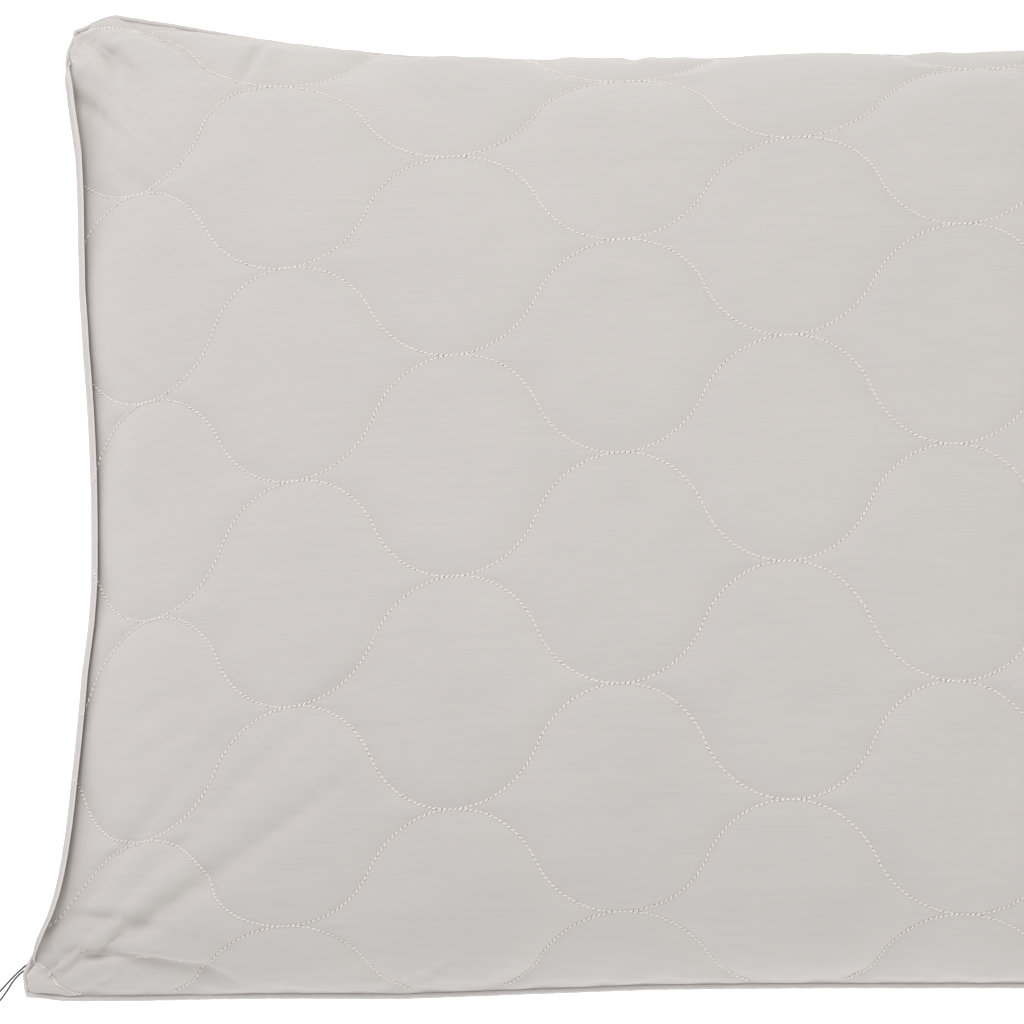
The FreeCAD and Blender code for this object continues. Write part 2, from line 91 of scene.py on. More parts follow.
# How a used pillow strays from its drawn outline: places along an edge, and how far it moves there.
TOP_STRAY = (
    (-.325, -.300, -.270, -.240, -.210, -.180, -.150, -.110, -.070, -.030, .010, .050, .090,
     .140, .220, .300, .325),
    (.0150, .0184, .0144, .0097, .0056, .0024, -.0002, -.0012, -.0027, -.0035, -.0027, -.0025,
     -.0037, -.0066, -.0050, -.0010, 0))
BOTTOM_STRAY = (
    (-.325, -.300, -.270, -.240, -.210, -.180, -.150, -.110, -.070, -.030, .010, .050, .090,
     .140, .220, .300, .325),
    (.0089, .0077, .0058, .0045, .0031, .0015, 0, 0, .0004, .0011, .0011, .0014, .0017, .0027,
     .0033, .0010, 0))
LEFT_STRAY = (
    (-.248, -.236, -.226, -.216, -.206, -.196, -.186, -.176, -.160, -.135, -.110, -.085, -.060,
     -.040, -.015, .015, .050, .080, .110, .135, .160, .180, .200, .220, .248),
    (-.0063, -.0078, -.0054, -.0026, -.0002, .0010, .0014, .0014, .0010, -.0001, -.0008, -.0014,
     -.0004, -.0004, -.0016, -.0030, -.0048, -.0064, -.0070, -.0059, -.0042, -.0032, -.0039,
     -.0043, -.0022))
# How the quilting strays over the cloth, as weights of 1, p, q, pq, p squared and q squared.
QUILT_STRAY = ((-.0010, .0659, -.0212, -.2464, .0076, -.0757), (-.0037, -.0235, .0439, -.1611, .0810, .0293))

# The route of the tag string, as in the frame's own string.
STRING_ROUTE = [
    (-0.3231, -0.219, 0.0574), (-0.3268, -0.2204, 0.056), (-0.3303, -0.2218, 0.0535), (-0.335, -0.2232, 0.045),
    (-0.3412, -0.2255, 0.034), (-0.347, -0.228, 0.023), (-0.353, -0.2312, 0.013), (-0.36, -0.235, 0.0075),
    (-0.3666, -0.236, 0.0066), (-0.3669, -0.2362, 0.0005), (-0.3608, -0.2366, 0.00047), (-0.356, -0.2358, 0.003),
    (-0.3515, -0.2332, 0.0105), (-0.3462, -0.23, 0.0215), (-0.3414, -0.2272, 0.033), (-0.3355, -0.2248, 0.0435),
    (-0.33, -0.2232, 0.052), (-0.3268, -0.2221, 0.0548), (-0.3236, -0.2208, 0.0568)]

# Folds pressed in the front panel: start, end, half width, depth, all in plan.
FOLDS = [
    ((-.3150, -.2020), (-.2500, -.2130), .0024, .0014),
    ((-.3140, -.2190), (-.2160, -.2360), .0024, .0032),
    ((-.3060, .2460), (-.2920, .2150), .0034, .0022),
    ((-.3000, .2440), (-.2840, .2180), .0034, .0014),
    ((-.2230, .2420), (-.2330, .2080), .0034, .0022),
    ((-.1640, .2400), (-.1760, .2230), .0034, .0012),
    ((-.0800, .2380), (-.0700, .2220), .0034, .0008),
    ((-.0300, .2370), (-.0420, .2180), .0036, .0008),
    ((-.2750, -.1340), (-.2350, -.1170), .0036, .0005),
    ((-.2780, -.1130), (-.2440, -.1020), .0036, .0005),
    ((-.2900, .0700), (-.2640, .0400), .0034, .0007),
    ((-.2920, .0060), (-.2680, -.0120), .0034, .0007),
    ((-.2960, .1720), (-.2740, .1500), .0034, .0007),
]


# ---- user settings ----
def length_property(name, description, default):
    """A length that a user may change."""
    return bpy.props.FloatProperty(name=name, description=description, default=default, min=0.0,
                                   unit="LENGTH", subtype="DISTANCE", precision=5)


def colour_property(name, description, default):
    """A colour that a user may change."""
    return bpy.props.FloatVectorProperty(name=name, description=description, default=default,
                                         size=3, min=0.0, max=1.0, subtype="COLOR")


class QuiltSettings(bpy.types.PropertyGroup):
    """Sizes of the quilting and the cloth."""
    half_wave: length_property("Half wave", "Hill to valley of a row, along the length", 0.0825)
    row_pitch: length_property("Row pitch", "Middle of one row to the next, across the width", 0.0535)
    first_hill: length_property("First hill", "Pattern place of a column where rows touch", 0.0380)
    first_row: length_property("First row", "Pattern place of the middle row", 0.02625)
    puff: length_property("Puff", "Height of a cell above its stitched line", 0.0024)
    puff_width: length_property("Puff width", "Distance from a line over which a cell fills out", 0.0085)
    stitch: length_property("Stitch", "Length of one stitch with its gap", 0.0026)
    thread: length_property("Thread", "Diameter of the quilting thread", 0.00076)
    cell: length_property("Cell", "Spacing of the cover's mesh", 0.0012)


class FinishSettings(bpy.types.PropertyGroup):
    """Colours of the finishes."""
    cotton: colour_property("Cotton", "Face fabric", (0.645, 0.618, 0.592))
    thread: colour_property("Thread", "Quilting thread", (0.92, 0.89, 0.84))
    piping: colour_property("Piping", "Piping sleeve", (0.70, 0.67, 0.655))
    wadding: colour_property("Wadding", "Wadding and batts", (0.82, 0.79, 0.72))
    zip_tape: colour_property("Zip tape", "Tape and coils", (0.66, 0.635, 0.60))
    enamel: colour_property("Enamel", "Slider, tab and stops", (0.70, 0.675, 0.64))
    string: colour_property("String", "Tag string", (0.012, 0.012, 0.014))
    card: colour_property("Card", "Hang tag", (0.80, 0.785, 0.75))


class StageSettings(bpy.types.PropertyGroup):
    """Camera and light."""
    distance: length_property("Camera distance", "Camera to the point it looks at", 1.66)
    elevation: bpy.props.FloatProperty(name="Elevation", description="Camera's angle above the floor",
                                       default=math.radians(75), subtype="ANGLE")
    lens: bpy.props.FloatProperty(name="Lens", description="Focal length in millimetres", default=121.2)
    key_power: bpy.props.FloatProperty(name="Key light", description="Power of the key light in watts",
                                       default=20.4)
    sky: bpy.props.FloatProperty(name="Sky", description="Strength of the even light", default=0.57)


def quilt():
    """Quilting settings of the scene."""
    return bpy.context.scene.pillow_quilt


def finish():
    """Finish settings of the scene."""
    return bpy.context.scene.pillow_finish


# ---- surface of the pillow ----
def crown(share):
    """Height profile from an edge (0) to the middle (1)."""
    return share * (5 - share ** 2) / 4


def edge_arc(corner, middle, other, share):
    """Half size at share of the way to a corner: each edge is an arc drawn in at its middle."""
    sag = corner - middle
    radius = (other ** 2 + sag ** 2) / (2 * sag)
    return middle + radius - np.sqrt(radius ** 2 - (other * share) ** 2)


def smooth(x):
    """Smooth step from 0 to 1."""
    x = np.clip(x, 0, 1)
    return x * x * (3 - 2 * x)


def pattern_table(half, rise, flat):
    """Pattern lengths from the middle of a panel to its edge, for even steps of the shape's own angle."""
    s = np.linspace(0, 1, 4001)
    along, up = half * np.sin(np.pi * s / 2), rise * crown(np.cos(np.pi * s / 2))
    length = np.concatenate([[0], np.cumsum(np.hypot(np.diff(along), np.diff(up)))])
    return length / length[-1] * flat, s


TABLE_X = pattern_table(MIDDLE_X, CROWN, FLAT_X)
TABLE_Y = pattern_table(MIDDLE_Y, CROWN, FLAT_Y)


def shape_point(p, q, front):
    """Smooth shape of a panel at pattern place p, q."""
    s = np.sign(p) * np.interp(np.abs(p), *TABLE_X)
    t = np.sign(q) * np.interp(np.abs(q), *TABLE_Y)
    u, v = np.sin(np.pi * s / 2), np.sin(np.pi * t / 2)
    height = crown(np.cos(np.pi * s / 2)) * crown(np.cos(np.pi * t / 2))
    corner = smooth((np.abs(u * v) - 0.90) / 0.10) ** 2
    pull = corner * np.where((u < 0) & (v > 0), TOP_LEFT_PULL, CORNER_PULL)
    x = u * edge_arc(CORNER_X, MIDDLE_X, CORNER_Y, v)
    y = v * edge_arc(CORNER_Y, MIDDLE_Y, CORNER_X, u)
    stray_x = np.interp(y, *LEFT_STRAY) * np.clip(-u, 0, 1) ** 4
    stray_y = (np.interp(x, *TOP_STRAY) * np.clip(v, 0, 1) ** 4
               + np.interp(x, *BOTTOM_STRAY) * np.clip(-v, 0, 1) ** 4)
    x, y = x + stray_x - np.sign(u) * pull, y + stray_y - np.sign(v) * pull
    z = SEAM_Z + (CROWN if front else -BELLY) * height
    return np.stack([x, y, z], -1)


def cubic(grid, i, j):
    """Smooth values of a grid between its points, by cubic pieces."""
    rows, columns = grid.shape[:2]
    i0 = np.clip(np.floor(i).astype(int), 0, rows - 2)
    j0 = np.clip(np.floor(j).astype(int), 0, columns - 2)
    a, b = (i - i0)[..., None], (j - j0)[..., None]

    def weights(x):
        return (-x * (1 - x) ** 2 / 2, (1 + x * x * (3 * x - 5) / 2),
                x * (1 + x * (4 - 3 * x)) / 2, x * x * (x - 1) / 2)

    total = 0
    for m, wm in enumerate(weights(a)):
        im = np.clip(i0 + m - 1, 0, rows - 1)
        for n, wn in enumerate(weights(b)):
            total = total + wm * wn * grid[im, np.clip(j0 + n - 1, 0, columns - 1)]
    return total


# ---- cloth simulation of the whole cover ----
SIM_CELL = 0.0060   # spacing of the simulated grid
SIM_CAP = 0.010     # furthest a point may move
SIM_FRAMES = 20
SIM_PRESSURE = 4
settled = {}


def quads(index, flip=False):
    """Quads between the points of a grid, given by their numbers."""
    faces = np.stack([index[:-1, :-1], index[1:, :-1], index[1:, 1:], index[:-1, 1:]], -1).reshape(-1, 4)
    return faces[:, ::-1] if flip else faces


def sim_grid():
    """Pattern places of the simulated grid."""
    p = np.linspace(-FLAT_X, FLAT_X, round(2 * FLAT_X / SIM_CELL) + 1)
    q = np.linspace(-FLAT_Y, FLAT_Y, round(2 * FLAT_Y / SIM_CELL) + 1)
    return np.meshgrid(p, q, indexing="ij")


def settle_cover():
    """Blows up the flat cut panels inside the pillow's shape, and keeps how far each point moves."""
    p, q = sim_grid()
    rows, columns = p.shape
    count = rows * columns
    start = np.concatenate([shape_point(p, q, front).reshape(-1, 3) for front in (True, False)])
    seam_row = np.zeros((rows, columns), bool)
    seam_row[[0, -1], :] = True
    seam_row[:, [0, -1]] = True
    front_index = np.arange(count).reshape(rows, columns)
    back_index = np.where(seam_row, front_index, front_index + count)
    faces = np.concatenate([quads(front_index), quads(back_index, flip=True)])
    used = np.unique(faces)
    renumber = np.full(2 * count, -1)
    renumber[used] = np.arange(len(used))
    mesh = bpy.data.meshes.new("settling")
    mesh.from_pydata(start[used].tolist(), [], renumber[faces].tolist())
    cover = bpy.data.objects.new("settling", mesh)
    bpy.context.scene.collection.objects.link(cover)
    flat = np.concatenate([np.stack([p, q, np.full_like(p, height)], -1).reshape(-1, 3)
                           for height in (SEAM_Z + 0.001, SEAM_Z - 0.001)])
    cover.shape_key_add(name="Basis")
    cut = cover.shape_key_add(name="cut")
    cut.data.foreach_set("co", flat[used].astype(np.float32).ravel())
    cut.value = 0
    pins = cover.vertex_groups.new(name="seam")
    pins.add(renumber[np.flatnonzero(seam_row.ravel())].tolist(), 1.0, "REPLACE")
    cloth = cover.modifiers.new("cloth", "CLOTH")
    settings = cloth.settings
    settings.quality = 6
    settings.mass = 0.25
    settings.tension_stiffness = settings.compression_stiffness = 12
    settings.shear_stiffness = 4
    settings.bending_stiffness = 0.35
    settings.use_pressure = True
    settings.uniform_pressure_force = SIM_PRESSURE
    settings.effector_weights.gravity = 0
    settings.vertex_group_mass = "seam"
    settings.rest_shape_key = cut
    cloth.collision_settings.use_collision = False
    cloth.point_cache.frame_end = 30
    for step in range(1, SIM_FRAMES + 1):
        bpy.context.scene.frame_set(step)
    graph = bpy.context.evaluated_depsgraph_get()
    result = cover.evaluated_get(graph).data
    end = np.zeros(len(used) * 3, np.float32)
    result.vertices.foreach_get("co", end)
    move = end.reshape(-1, 3).astype(float) - start[used]
    size = np.linalg.norm(move, axis=1, keepdims=True)
    move *= np.minimum(1, SIM_CAP / np.maximum(size, 1e-9))
    full = np.zeros((2 * count, 3))
    full[used] = move
    full[count:][seam_row.ravel()] = full[:count][seam_row.ravel()]
    settled[True] = full[:count].reshape(rows, columns, 3)
    settled[False] = full[count:].reshape(rows, columns, 3)
    bpy.data.objects.remove(cover)
    bpy.data.meshes.remove(mesh)
    bpy.context.scene.frame_set(1)


def soft_point(p, q, front):
    """Shape of a panel with the settled cloth's folds, which die out at the corners, without quilting."""
    point = shape_point(p, q, front)
    if front in settled:
        grid = settled[front]
        i = (p + FLAT_X) / (2 * FLAT_X) * (grid.shape[0] - 1)
        j = (q + FLAT_Y) / (2 * FLAT_Y) * (grid.shape[1] - 1)
        calm = 1 - smooth((np.abs(p * q) / (FLAT_X * FLAT_Y) - 0.78) / 0.12)
        point = point + cubic(grid, i, j) * calm[..., None]
    return point


# ---- quilting ----
def rows_of_arcs():
    """Every quilting arc in pattern coordinates, as its centre and the side its top is on."""
    settings = quilt()
    turn = 2 * math.atan(settings.row_pitch / settings.half_wave)
    radius = settings.half_wave / 2 / math.sin(turn)
    arcs = []
    for row in range(-6, 7):
        for hill in range(-6, 6):
            side = 1 if (row + hill) % 2 == 0 else -1
            centre_x = settings.first_hill + hill * settings.half_wave
            centre_y = settings.first_row + row * settings.row_pitch + side * (settings.row_pitch / 2 - radius)
            arcs.append((centre_x, centre_y, side))
    return arcs, radius, turn


def quilt_stray(p, q):
    """How far the quilting has strayed at a pattern place."""
    parts = np.stack([np.ones_like(p), p, q, p * q, p * p, q * q], -1)
    return parts @ np.array(QUILT_STRAY).T


def cloth_place(places):
    """Pattern places on the cloth of places on the straight quilting pattern."""
    found = places
    for _ in range(10):
        found = places - quilt_stray(found[..., 0], found[..., 1])
    return found


def line_distance(p, q):
    """Distance along the cloth from each place to the nearest quilting line."""
    arcs, radius, turn = rows_of_arcs()
    stray = quilt_stray(p, q)
    p, q = p + stray[..., 0], q + stray[..., 1]
    nearest = np.full(np.shape(p), 1.0)
    for x, y, side in arcs:
        dx, dy = p - x, (q - y) * side
        facing = np.abs(np.arctan2(dx, dy)) <= turn
        nearest = np.where(facing, np.minimum(nearest, np.abs(np.hypot(dx, dy) - radius)), nearest)
    return nearest


def puff(distance):
    """Height of the cloth above or below the smooth shape, by distance from a line."""
    settings = quilt()
    fill = 1 - np.exp(-(distance / settings.puff_width) ** 1.3)
    return settings.puff * (fill - 0.45) - 0.0004 * np.exp(-(distance / 0.0010) ** 2)


def ripple(p, q, seed, size):
    """Soft random folds: a few sine waves in mixed directions, from -1 to 1."""
    random = np.random.default_rng(seed)
    total = 0
    for _ in range(7):
        angle, phase = random.uniform(0, np.pi), random.uniform(0, 2 * np.pi)
        pitch = size * random.uniform(0.6, 1.6)
        total = total + np.sin((p * np.cos(angle) + q * np.sin(angle)) * 2 * np.pi / pitch + phase)
    return total / 7


def folds(x, y):
    """Depth of the pressed folds at a place in plan."""
    total = 0
    for (x0, y0), (x1, y1), width, depth in FOLDS:
        dx, dy = x1 - x0, y1 - y0
        length = math.hypot(dx, dy)
        along = ((x - x0) * dx + (y - y0) * dy) / length ** 2
        across = ((x - x0) * dy - (y - y0) * dx) / length
        bow = across + 0.12 * length * along * (1 - along)
        taper = smooth(along * 5) * smooth((1 - along) * 3)
        above, below = (np.exp(-((bow + side * 2.2 * width) / (1.5 * width)) ** 2) for side in (1, -1))
        shape = np.exp(-(bow / width) ** 2) - 0.6 * above - 0.15 * below
        total = total - depth * taper * shape
    return total


def cover_point(p, q, front, inset=0.0):
    """Finished face of the cover at a pattern place; inset sets it into the pillow."""
    step = 0.0015
    centre = soft_point(p, q, front)
    inner_p, inner_q = FLAT_X - 2 * step, FLAT_Y - 2 * step
    pc, qc = np.clip(p, -inner_p, inner_p), np.clip(q, -inner_q, inner_q)
    along = soft_point(pc + step, qc, front) - soft_point(pc - step, qc, front)
    across = soft_point(pc, qc + step, front) - soft_point(pc, qc - step, front)
    normal = np.cross(along, across) * (1 if front else -1)
    normal /= np.maximum(np.linalg.norm(normal, axis=-1, keepdims=True), 1e-12)
    edge = np.minimum(FLAT_X - np.abs(p), FLAT_Y - np.abs(q))
    height = puff(line_distance(p, q)) * smooth(edge / 0.012)
    gather = smooth(edge / 0.004) * (1 - smooth(edge / 0.030))
    height = height + gather * 0.0012 * ripple(p * 3, q * 3, 5, 0.055)
    height = height + 0.0006 * ripple(p, q * 2.2, 11, 0.060) * smooth(edge / 0.02)
    if front:
        height = height + folds(centre[..., 0], centre[..., 1])
        height = height * (1 - zip_span(q) * (1 - smooth((p - lip_place(q)) / LIP_CALM)))
    point = centre + normal * (height - inset)[..., None]
    if front:
        point[..., 0] -= lip_pull(p, q)
    else:
        floor = FLOOR_GAP + inset
        above = point[..., 2] - floor
        point[..., 2] = floor + (above + np.sqrt(above ** 2 + 0.0016 ** 2)) / 2 - 0.0004
        point[..., 2] = np.maximum(point[..., 2], floor)
    return point, normal


# ---- mesh helpers ----
def make_piece(name, points, faces, material):
    """Smooth mesh object riding on the pillow's body, with its material."""
    mesh = bpy.data.meshes.new(name)
    faces = faces if isinstance(faces, list) else faces.tolist()
    mesh.from_pydata(np.asarray(points, float).reshape(-1, 3).tolist(), [], faces)
    mesh.polygons.foreach_set("use_smooth", np.full(len(mesh.polygons), True))
    mesh.materials.append(material)
    mesh.update()
    piece = bpy.data.objects.new(name, mesh)
    bpy.context.scene.collection.objects.link(piece)
    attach(piece, "pillow")
    return piece


def grid_faces(rows, columns, wrap_rows=False, wrap_columns=False, flip=False):
    """Quads of a whole grid of points, joined end to end where it wraps."""
    index = np.arange(rows * columns).reshape(rows, columns)
    if wrap_rows:
        index = np.concatenate([index, index[:1]], 0)
    if wrap_columns:
        index = np.concatenate([index, index[:, :1]], 1)
    return quads(index, flip)


def tubes(paths, normals, radius, sides=6):
    """Closed little tubes, one per path: paths is tubes x points x 3, radius one number or one per point."""
    count, length = paths.shape[:2]
    ahead = np.gradient(paths, axis=1)
    ahead /= np.linalg.norm(ahead, axis=-1, keepdims=True)
    side = np.cross(ahead, normals)
    side /= np.linalg.norm(side, axis=-1, keepdims=True)
    up = np.cross(side, ahead)
    angle = np.arange(sides) * 2 * np.pi / sides
    radius = np.broadcast_to(radius, (count, length))[..., None, None]
    rings = paths[:, :, None] + radius * (np.cos(angle)[None, None, :, None] * side[:, :, None]
                                          + np.sin(angle)[None, None, :, None] * up[:, :, None])
    one = grid_faces(length, sides, wrap_columns=True)
    shift = np.arange(count)[:, None, None] * length * sides
    faces = (one[None] + shift).reshape(-1, 4).tolist()
    for start in range(0, count * length * sides, length * sides):
        faces.append(list(range(start, start + sides)))
        faces.append(list(range(start + length * sides - 1, start + (length - 1) * sides - 1, -1)))
    return rings.reshape(-1, 3), faces


# ---- materials ----
def add_node(tree, kind, place=(0, 0), **values):
    """Node of a kind; values are its settings, or its inputs by name."""
    node = tree.nodes.new("ShaderNode" + kind)
    node.location = place
    for key, value in values.items():
        name = key.replace("_", " ")
        if name in node.inputs:
            node.inputs[name].default_value = value
        else:
            setattr(node, key, value)
    return node


def cloth_group():
    """Group shared by the cloths: a tone that drifts over the surface, and the height of slubs and fibres."""
    name = "Cloth surface"
    if name in bpy.data.node_groups:
        return bpy.data.node_groups[name]
    tree = bpy.data.node_groups.new(name, "ShaderNodeTree")
    for label, value in (("Slub length", 0.03), ("Slub width", 0.0016), ("Fibre", 0.0007), ("Drift", 0.06)):
        tree.interface.new_socket(label, in_out="INPUT", socket_type="NodeSocketFloat").default_value = value
    for label in ("Tone", "Height"):
        tree.interface.new_socket(label, in_out="OUTPUT", socket_type="NodeSocketFloat")
    inside, outside = tree.nodes.new("NodeGroupInput"), tree.nodes.new("NodeGroupOutput")
    link = tree.links.new
    place = add_node(tree, "TexCoord")
    parts = []
    for sizes in (("Slub length", "Slub width"), ("Fibre", "Fibre"), ("Drift", "Drift")):
        scale = add_node(tree, "CombineXYZ")
        for axis, label in zip("XYZ", (sizes[0], sizes[1], sizes[0])):
            inverse = add_node(tree, "Math", operation="DIVIDE")
            inverse.inputs[0].default_value = 1.0
            link(inside.outputs[label], inverse.inputs[1])
            link(inverse.outputs[0], scale.inputs[axis])
        stretched = add_node(tree, "VectorMath", operation="MULTIPLY")
        link(place.outputs["Object"], stretched.inputs[0])
        link(scale.outputs[0], stretched.inputs[1])
        noise = add_node(tree, "TexNoise", Scale=1.0, Detail=3.0, Roughness=0.6)
        link(stretched.outputs[0], noise.inputs["Vector"])
        parts.append(noise.outputs["Fac"])
    tone = add_node(tree, "Math", operation="MULTIPLY_ADD")
    link(parts[0], tone.inputs[0])
    tone.inputs[1].default_value = 0.45
    half = add_node(tree, "Math", operation="MULTIPLY_ADD")
    link(parts[2], half.inputs[0])
    half.inputs[1].default_value = 0.35
    fine = add_node(tree, "Math", operation="MULTIPLY")
    link(parts[1], fine.inputs[0])
    fine.inputs[1].default_value = 0.20
    link(fine.outputs[0], half.inputs[2])
    link(half.outputs[0], tone.inputs[2])
    link(tone.outputs[0], outside.inputs["Tone"])
    height = add_node(tree, "Math", operation="MULTIPLY_ADD")
    link(parts[0], height.inputs[0])
    height.inputs[1].default_value = 0.6
    link(parts[1], height.inputs[2])
    link(height.outputs[0], outside.inputs["Height"])
    return tree


def cloth_material(name, colour, slub_length=0.03, slub_width=0.0016, fibre=0.0007, drift=0.06,
                   contrast=0.10, bump=0.25, relief=0.0002, roughness=0.78, sheen=0.25):
    """Woven or spun cloth: its colour drifts with slubs, and its fibres raise a fine relief."""
    material = bpy.data.materials.new(name)
    material.use_nodes = True
    tree = material.node_tree
    shader = tree.nodes["Principled BSDF"]
    shader.inputs["Roughness"].default_value = roughness
    shader.inputs["Sheen Weight"].default_value = sheen
    shader.inputs["Sheen Roughness"].default_value = 0.45
    shader.inputs["Specular IOR Level"].default_value = 0.25
    surface = add_node(tree, "Group", (-700, 0), node_tree=cloth_group())
    for label, value in (("Slub length", slub_length), ("Slub width", slub_width), ("Fibre", fibre),
                         ("Drift", drift)):
        surface.inputs[label].default_value = value
    ramp = add_node(tree, "ValToRGB", (-450, 100))
    ramp.color_ramp.elements[0].position, ramp.color_ramp.elements[1].position = 0.30, 0.70
    ramp.color_ramp.elements[0].color = (*(c * (1 - contrast) for c in colour), 1)
    ramp.color_ramp.elements[1].color = (*(min(1, c * (1 + contrast * 0.6)) for c in colour), 1)
    raised = add_node(tree, "Bump", (-250, -200), Strength=bump, Distance=relief)
    tree.links.new(surface.outputs["Tone"], ramp.inputs["Fac"])
    tree.links.new(ramp.outputs["Color"], shader.inputs["Base Color"])
    tree.links.new(surface.outputs["Height"], raised.inputs["Height"])
    tree.links.new(raised.outputs["Normal"], shader.inputs["Normal"])
    return material


def hard_material(name, colour, roughness, metallic=0.0, coat=0.0, grain=0.0006, bump=0.15):
    """Moulded, enamelled or card surface with a faint grain."""
    material = bpy.data.materials.new(name)
    material.use_nodes = True
    tree = material.node_tree
    shader = tree.nodes["Principled BSDF"]
    shader.inputs["Metallic"].default_value = metallic
    shader.inputs["Coat Weight"].default_value = coat
    surface = add_node(tree, "Group", (-700, 0), node_tree=cloth_group())
    for label, value in (("Slub length", grain * 4), ("Slub width", grain * 2), ("Fibre", grain), ("Drift", 0.01)):
        surface.inputs[label].default_value = value
    ramp = add_node(tree, "ValToRGB", (-450, 100))
    ramp.color_ramp.elements[0].color = (*(c * 0.93 for c in colour), 1)
    ramp.color_ramp.elements[1].color = (*(min(1, c * 1.04) for c in colour), 1)
    worn = add_node(tree, "MapRange", (-450, -150))
    worn.inputs["To Min"].default_value = roughness - 0.06
    worn.inputs["To Max"].default_value = roughness + 0.06
    raised = add_node(tree, "Bump", (-250, -300), Strength=bump, Distance=grain / 6)
    tree.links.new(surface.outputs["Tone"], ramp.inputs["Fac"])
    tree.links.new(surface.outputs["Tone"], worn.inputs["Value"])
    tree.links.new(ramp.outputs["Color"], shader.inputs["Base Color"])
    tree.links.new(worn.outputs["Result"], shader.inputs["Roughness"])
    tree.links.new(surface.outputs["Height"], raised.inputs["Height"])
    tree.links.new(raised.outputs["Normal"], shader.inputs["Normal"])
    return material


def dress_node(node, material):
    """Give a carried-over node its material."""
    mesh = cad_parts[node].data
    mesh.materials.clear()
    mesh.materials.append(material)


# ---- operators ----
class PILLOW_OT_stage(bpy.types.Operator):
    """Camera, floor and soft studio light"""
    bl_idname = "pillow.stage"
    bl_label = "Stage"

    def execute(self, context):
        scene = context.scene
        stage = scene.pillow_stage
        scene.view_settings.view_transform = "Standard"
        target = Vector((-0.0948, -0.0112, SEAM_Z + 0.035))
        centre = Vector((0.0, target.y, target.z))
        back = Vector((0, -math.cos(stage.elevation), math.sin(stage.elevation)))
        lens = bpy.data.cameras.new("camera")
        lens.lens = stage.lens
        camera = bpy.data.objects.new("camera", lens)
        scene.collection.objects.link(camera)
        camera.location = centre + back * stage.distance
        look = (target - camera.location).normalized()
        right = look.cross(Vector((0, 1, 0))).normalized()
        camera.rotation_mode = "QUATERNION"
        camera.rotation_quaternion = Matrix((right, right.cross(look), -look)).transposed().to_quaternion()
        scene.camera = camera
        floor = bpy.data.objects.new("floor", bpy.data.meshes.new("floor"))
        reach = 12.0
        corners = [(-reach, -reach, 0), (reach, -reach, 0), (reach, reach, 0), (-reach, reach, 0)]
        floor.data.from_pydata(corners, [], [(0, 1, 2, 3)])
        paper = bpy.data.materials.new("floor_paper")
        paper.use_nodes = True
        shader = paper.node_tree.nodes["Principled BSDF"]
        for label, value in (("Base Color", (0.96, 0.96, 0.96, 1)), ("Roughness", 0.9),
                             ("Emission Color", (1.0, 1.0, 1.0, 1)), ("Emission Strength", 0.45)):
            shader.inputs[label].default_value = value
        floor.data.materials.append(paper)
        scene.collection.objects.link(floor)
        world = bpy.data.worlds.new("studio")
        world.use_nodes = True
        world.node_tree.nodes["Background"].inputs["Color"].default_value = (1.0, 1.0, 1.0, 1)
        world.node_tree.nodes["Background"].inputs["Strength"].default_value = stage.sky
        scene.world = world
        lamps = (("key", (-0.7, 1.2, 2.0), 1.4, stage.key_power, (1.0, 0.99, 0.985)),
                 ("fill", (1.5, -1.5, 1.7), 2.0, stage.key_power * 0.76, (1.0, 0.985, 0.98)),
                 ("side", (-1.8, 0.1, 0.7), 1.0, stage.key_power * 0.13, (0.86, 0.82, 1.0)))
        for name, place, size, power, colour in lamps:
            light = bpy.data.lights.new(name, "AREA")
            light.size, light.energy, light.color = size, power, colour
            lamp = bpy.data.objects.new(name, light)
            lamp.location = place
            lamp.rotation_mode = "QUATERNION"
            lamp.rotation_quaternion = (centre - lamp.location).to_track_quat("-Z", "Y")
            scene.collection.objects.link(lamp)
        return {"FINISHED"}


class PILLOW_OT_tag(bpy.types.Operator):
    """Blank hang tag on its string"""
    bl_idname = "pillow.tag"
    bl_label = "Hang tag"

    def execute(self, context):
        diameter = 0.0009
        curve = bpy.data.curves.new("tag_cord", "CURVE")
        curve.dimensions = "3D"
        line = curve.splines.new("NURBS")
        line.points.add(len(STRING_ROUTE) - 1)
        for point, place in zip(line.points, STRING_ROUTE):
            point.co = (*place, 1)
        line.order_u = 3
        line.use_endpoint_u = True
        curve.bevel_depth = diameter / 2
        curve.bevel_resolution = 3
        curve.resolution_u = 12
        curve.materials.append(cloth_material("waxed_string", finish().string, 0.002, 0.0004, 0.0003, 0.01,
                                              0.5, 0.6, 0.0002, 0.5, 0.1))
        cord = bpy.data.objects.new("tag_cord", curve)
        context.scene.collection.objects.link(cord)
        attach(cord, "pillow")
        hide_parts("tag_string")
        dress_node("hang_tag", hard_material("uncoated_card", finish().card, 0.8, grain=0.0008, bump=0.3))
        return {"FINISHED"}


